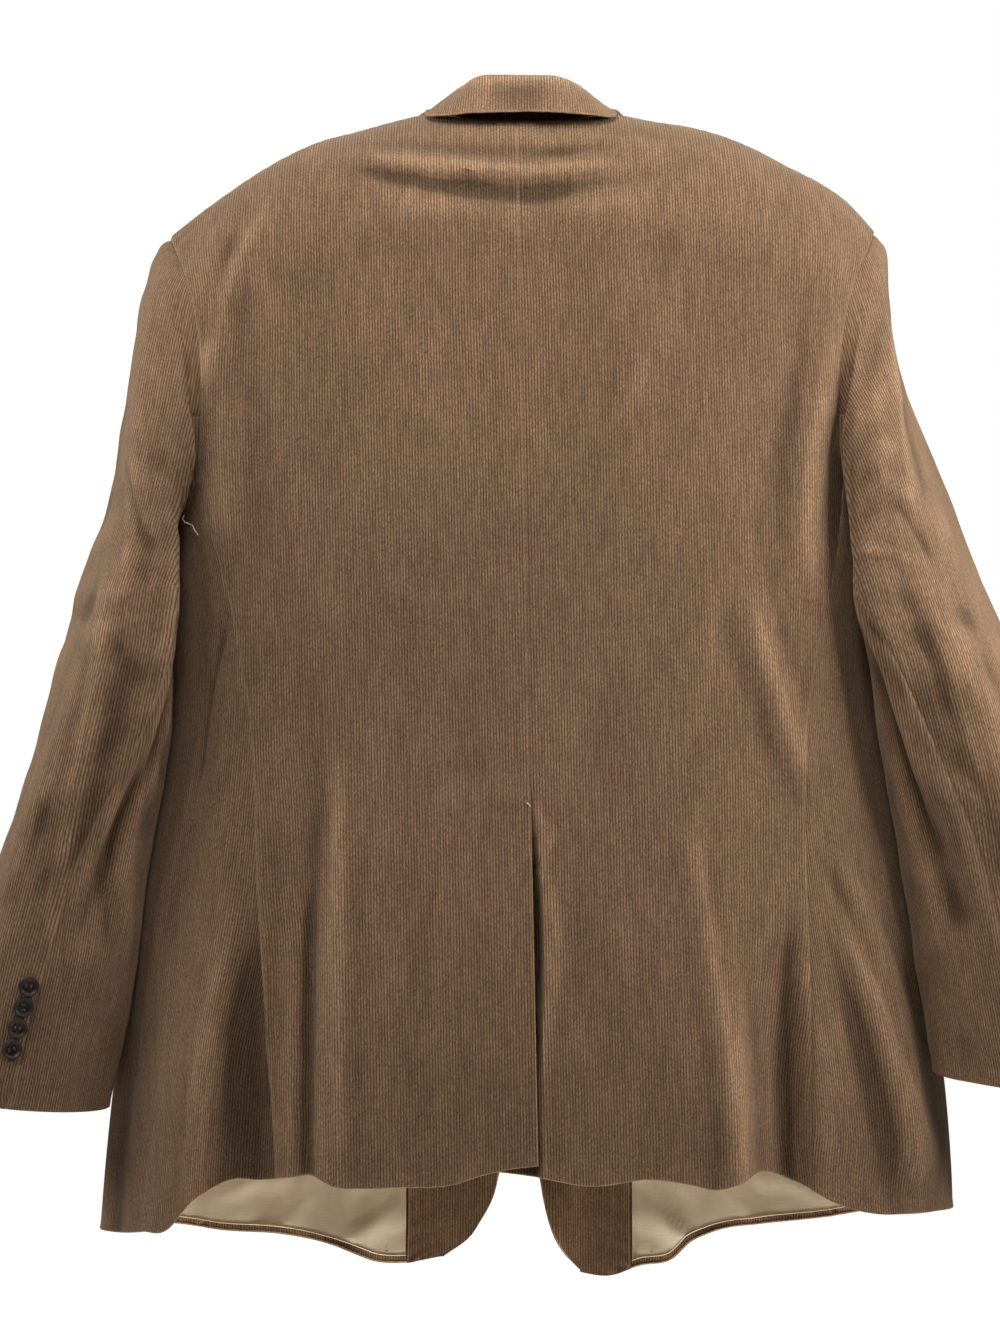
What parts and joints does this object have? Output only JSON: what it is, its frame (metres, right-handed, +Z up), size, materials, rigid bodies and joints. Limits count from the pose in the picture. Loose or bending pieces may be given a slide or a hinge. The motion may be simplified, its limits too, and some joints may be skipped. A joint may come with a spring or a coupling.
{
  "type": "corduroy jacket",
  "caption": "Man's single-breasted corduroy jacket with notched lapels, centre vent and set-in sleeves, hollow and open at neck, hem and cuffs, hanging filled out.",
  "frame": {"origin": "middle of the neck opening, level with the top of the shoulder seams at the neck, where the wearer's neck and shoulders hold the jacket", "axes": "+Z up, the front faces -Y and the back +Y, and +X is the wearer's left"},
  "size_m": [0.8743, 0.2415, 0.8995],
  "materials": {
    "corduroy": "cotton corduroy with fine wales running down each piece, brushed and a little creased",
    "lining": "plain woven lining with a soft sheen",
    "button": "dark horn-like resin, dull polish"
  },
  "bodies": {
    "root": {"back_left": "corduroy", "back_right": "corduroy", "side_left": "corduroy", "side_right": "corduroy", "front_left": "corduroy", "front_right": "corduroy", "facing_left": "corduroy", "facing_right": "corduroy", "lapel_left": "corduroy", "lapel_right": "corduroy", "collar": "corduroy", "upper_sleeve_left": "corduroy", "upper_sleeve_right": "corduroy", "under_sleeve_left": "corduroy", "under_sleeve_right": "corduroy", "lining_left": "lining", "lining_right": "lining", "cuff_button_left_1": "button", "cuff_button_left_2": "button", "cuff_button_left_3": "button", "cuff_button_left_4": "button", "cuff_button_right_1": "button", "cuff_button_right_2": "button", "cuff_button_right_3": "button", "cuff_button_right_4": "button", "front_button_1": "button", "front_button_2": "button"}
  },
  "joints": []
}
